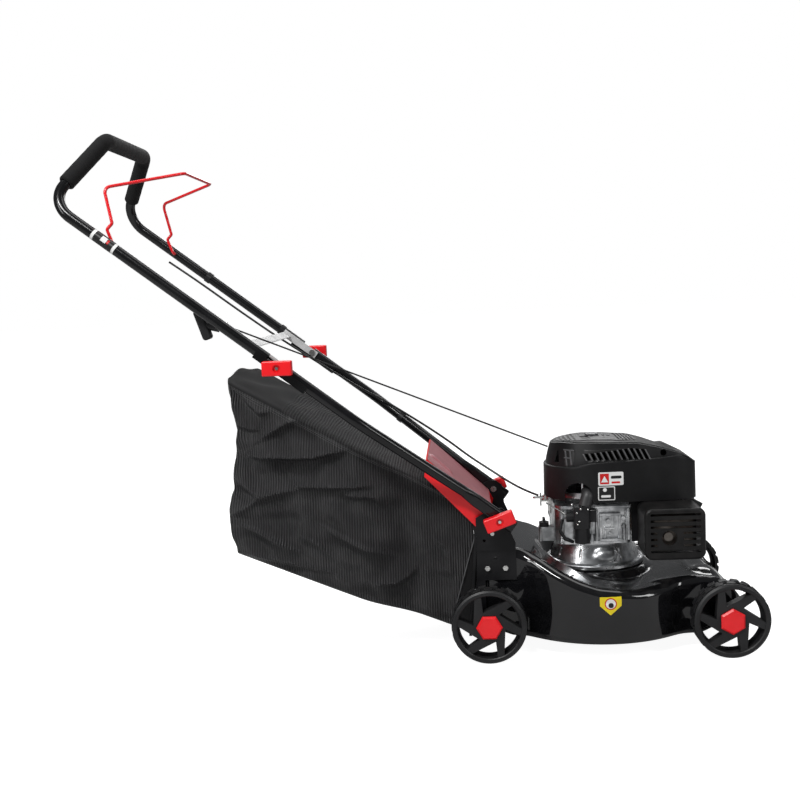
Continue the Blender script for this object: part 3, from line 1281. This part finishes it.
def makeCrownPatch(look):
    # A patch that follows the crown, with long slots at both ends and six sunk windows between.
    x0, x1, y0, y1, corner = look["span"]
    patch = spanPatch("topGrille", roundedSpan(x0, x1, y0, y1, corner), 500, materials["grilleSet"], "root",
                      axis=2, across=60, replaced=("top_grille",))
    layOn(patch, shroudPiece, 2, 0.3 * mm, look["wall"])
    cutters = [prism([(x - look["slotHalf"], -r), (x + look["slotHalf"], -r), (x + look["slotHalf"], r),
                      (x - look["slotHalf"], r)], (380, 480), 2) for x, r in look["longSlots"]]
    cutters += [prism([(a, low), (b, low), (b, high), (a, high)], (380, 480), 2)
                for a, b in look["blocks"] for low, high in look["blockRows"]]
    cutAway(patch, cutters)


makeCrownPatch(crownPatch)

engineTrim = {
    # Tubes: name, corners, bend, radius, sides, finish, slot.
    "tubes": [
        ("intakeDuct", [(352, -84, 318), (350, -100, 312), (343, -104, 290)], 8, 13.5, 28,
         "greyDuct", "black_plastic"),
        ("throttleRod", [(262, -101, 300), (294, -105, 281), (306, -105, 270)], 4, 1.6, 10, "zinc", "zinc"),
        ("governorRod", [(334, -112, 294), (340, -114, 286), (351, -113, 283), (368, -104, 281)],
         3, 1.1, 10, "zinc", "zinc"),
        ("breatherHose", [(296, -96, 262), (290, -102, 240), (300, -104, 222), (318, -100, 214)],
         8, 3.6, 14, "black_plastic", "black_plastic"),
        ("casePostOne", [(368, -93, 280), (368, -93, 214)], 1, 3.0, 14, "cast_aluminium", "cast_aluminium"),
        ("casePostTwo", [(425, -93, 247), (425, -93, 213)], 1, 3.4, 14, "cast_aluminium", "cast_aluminium"),
    ],
    "screws": [(332, -123, 288, 2.6), (347, -123, 287, 2.2), (324, -123, 280, 2.4), (329, -123, 262, 2.2),
               (325, -123, 256, 2.4), (315, -118, 297, 2.8)],
    "bracket": [(300, 262), (308, 268), (317, 268), (318, 256), (316, 217), (300, 215)],
    # Raised bars on the crankcase: x from and to, z from and to, how far they stand out.
    "bars": [(374, 418, 266, 272, 9), (374, 418, 212, 218, 9), (374, 379, 218, 266, 9),
             (413, 418, 218, 266, 9), (296, 439, 282, 287, 4), (432, 437, 213, 282, 5),
             (384, 408, 236, 241, 3), (356, 360, 213, 282, 4), (419, 432, 240, 244, 4),
             (296, 300, 213, 282, 3), (384, 388, 218, 236, 3), (400, 404, 241, 266, 3)],
    "bosses": [(423, 260, 5.2, 8), (425, 226, 4.4, 7), (366, 274, 4.6, 7), (396, 227, 4.0, 5),
               (392, 254, 5.0, 5)],
    "gapPlate": [(437, 207), (474, 207), (474, 292), (437, 292)],
}


def makeEngineTrim(look):
    for name, corners, bend, radius, sides, finish, slotName in look["tubes"]:
        line = bentLine(corners, bend, 1.5) * mm
        rings = tubeGrid(line, radius * mm, sides, (0.31, 1.0, 0.17))
        faces = gridFaces(*rings.shape[:2], wrapColumns=True).tolist() + endCaps(*rings.shape[:2])
        piece = makePiece(name, rings.reshape(-1, 3), faces, materials[finish], "root")
        piece.data.set_sharp_from_angle(angle=math.radians(50))
    # Screw heads: domes of three rings, facing out.
    turn = np.linspace(0, 2 * np.pi, 16, endpoint=False)
    domes = []
    domeFaces = gridFaces(3, 16, wrapColumns=True).tolist() + [list(range(32, 48))]
    for x, y, z, radius in look["screws"]:
        lift = np.array([0.0, 0.6, 1.0])
        size = np.array([1.0, 0.8, 0.35]) * radius
        ring = np.stack([x + size[:, None] * np.cos(turn), np.broadcast_to(y - 1.6 * lift[:, None], (3, 16)),
                         z + size[:, None] * np.sin(turn)], -1)
        domes.append((ring.reshape(-1, 3) * mm, domeFaces))
    points, faces = joined(domes)
    makePiece("carburettorScrews", points, faces, materials["zinc"], "root")
    solids = [prism([(x0, z0), (x1, z0), (x1, z1), (x0, z1)], (-88.2 - out, -87.5))
              for x0, x1, z0, z1, out in look["bars"]]
    turn = np.linspace(0, 2 * np.pi, 24, endpoint=False)
    solids += [prism(np.stack([x + r * np.cos(turn), z + r * np.sin(turn)], -1), (-88.2 - out, -87.5))
               for x, z, r, out in look["bosses"]]
    points, faces = joined(solids)
    castMetal = materials["cast_aluminium"]
    relief = makePiece("caseRelief", points, faces, castMetal, "root", smooth=False)
    edges = relief.modifiers.new("edges", "BEVEL")
    edges.width, edges.segments = 0.8 * mm, 2
    points, faces = prism(look["gapPlate"], (-82, -79))
    makePiece("gapPlate", points, faces, materials["black_plate"], "root", smooth=False)
    points, faces = prism(look["bracket"], (-99, -95))
    makePiece("linkageBracket", points, faces, castMetal, "root", smooth=False)


makeEngineTrim(engineTrim)


# ---- sump: a turned cone

sump = {
    "axis": (373, 0), "cone": (163, 201),  # the cone's lower and upper end
    "profile": [(68, 141), (68, 152.4), (104.5, 152.4), (104.9, 153.5), (104.9, 159), (103.6, 160.6),
                (98, 162), (95.5, 163), (82.5, 201), (82, 205.9), (30, 205.9)],
    "turnSteps": 720, "between": 10, "swell": (-81, 15, 7.0), "swellLevel": (0.42, 0.36),
    "slots": [-116, -68, -61, -150, -30], "slotDepth": 2.4,
}


def makeSump(look):
    # Radius and height come from the profile. A low oval swell and narrow sunk slots are added square to
    # the cone.
    r, z = np.array(look["profile"], float).T
    fine = np.linspace(0, len(r) - 1, (len(r) - 1) * look["between"] + 1)
    r, z = (np.interp(fine, np.arange(len(v)), v)[:, None] for v in (r, z))
    turn = np.linspace(0, 2 * np.pi, look["turnSteps"], endpoint=False)[None]
    low, high = look["cone"]
    level = (z - low) / (high - low)
    onCone = smoothStep(level, 0.0, 0.06) * (1 - smoothStep(level, 0.94, 1.0))
    heading, width, rise = look["swell"]
    away = (np.degrees(turn) - heading + 180) % 360 - 180
    middle, reach = look["swellLevel"]
    bump = rise * np.exp(-((away / width) ** 2 + ((level - middle) / reach) ** 2) ** 2)
    slotLevel = smoothStep(level, 0.2, 0.26) * (1 - smoothStep(level, 0.66, 0.72))
    for place in look["slots"]:
        off = np.abs((np.degrees(turn) - place + 180) % 360 - 180)
        bump = bump - look["slotDepth"] * (1 - smoothStep(off, 0.8, 1.7)) * slotLevel
    radius = r + bump * onCone * 0.92
    points = np.stack([look["axis"][0] + radius * np.cos(turn), look["axis"][1] + radius * np.sin(turn),
                       z + bump * onCone * 0.38], -1)
    faces = gridFaces(*points.shape[:2], wrapColumns=True)
    piece = makePiece("sump", points.reshape(-1, 3) * mm, faces, materials["cast_aluminium"], "root",
                      ("engine_base",))
    piece.data.set_sharp_from_angle(angle=math.radians(40))


makeSump(sump)


# ---- ribs and fields on the shroud's side

shroudTrim = {
    "field": [(383, 352, 462), (396, 347, 470), (407, 345, 464), (409, 430, 460)],
    "ribHalf": 1.5, "ribOut": 0.9,
    "guardField": [(372, 306, 322), (398, 305, 326), (408, 308, 324)],
    "guardBars": [(309, 372, 404), (318, 374, 404)], "guardHalf": 1.6,
    "guardRails": [(405, 306, 326), (389, 306, 318)],
}


def makeShroudTrim(look, body):
    # Ribs between the slots over a dark field, and the finger guard beside the rope's way out.
    field = spanPatch("slotField", manyLevels(look["field"], 20), -150, materials["labelBlack"], "root",
                      across=40)
    layOn(field, shroudPiece, 1, 0.3 * mm)
    half = look["ribHalf"]
    bars = []
    for k in range(body["slots"] + 1):
        x, low, high = slotPlace(body, k)
        bars.append(("slotRib", x - body["slotPitch"] / 2, low, high, body["slotSlant"], half))
    bars += [("guardBar", x, low, high, 0.05, look["guardHalf"]) for x, low, high in look["guardBars"]]
    guard = spanPatch("guardField", manyLevels(look["guardField"], 20), -150, materials["labelBlack"], "root",
                      across=24)
    layOn(guard, shroudPiece, 1, 0.3 * mm)
    for name, x, low, high, slant, wide in bars:
        shift = slant * (high - low)
        span = manyLevels([(low, x + shift - wide, x + shift + wide), (high, x - wide, x + wide)], 10)
        rib = spanPatch(name, span, -150, materials["grille_plastic"], "root", across=4)
        layOn(rib, shroudPiece, 1, 0.35 * mm, look["ribOut"] * mm)
    for z, x0, x1 in look["guardRails"]:
        rail = spanPatch("guardRail", manyLevels([(z - 1.4, x0, x1), (z + 1.4, x0, x1)], 3), -150,
                         materials["grille_plastic"], "root", across=30)
        layOn(rail, shroudPiece, 1, 0.35 * mm, 1.1 * mm)


makeShroudTrim(shroudTrim, shroud)


# ---- the flap's top face

flapSkin = {
    "from": (20, 406.9), "to": (150, 284.3), "half": 142, "lift": 0.25, "bead": (-62, 11, 4.5),
    "beadEnd": (0.06, 0.42), "rows": 60, "columns": 120,
}


def makeFlapSkin(look):
    # A faded rose skin just above the sheet, with a pressed bead along it.
    (x0, z0), (x1, z1) = look["from"], look["to"]
    out = np.array([z0 - z1, x1 - x0]) / math.hypot(x1 - x0, z0 - z1)
    t = np.linspace(0, 1, look["rows"])[:, None]
    y = np.linspace(-look["half"], look["half"], look["columns"])[None]
    middle, width, rise = look["bead"]
    start, end = look["beadEnd"]
    length = smoothStep(t, 0, start) * (1 - smoothStep(t, end - 0.1, end))
    lift = look["lift"] + rise * np.exp(-(((y - middle) / width) ** 2) ** 2) * length
    x, z = x0 + (x1 - x0) * t + out[0] * lift, z0 + (z1 - z0) * t + out[1] * lift
    points = np.stack(np.broadcast_arrays(x, y, z), -1).reshape(-1, 3) * mm
    faces = gridFaces(look["rows"], look["columns"])[:, ::-1]
    makePiece("flapSkin", points, faces, materials["flapRose"], "flap")


makeFlapSkin(flapSkin)
print("engine trim ready")
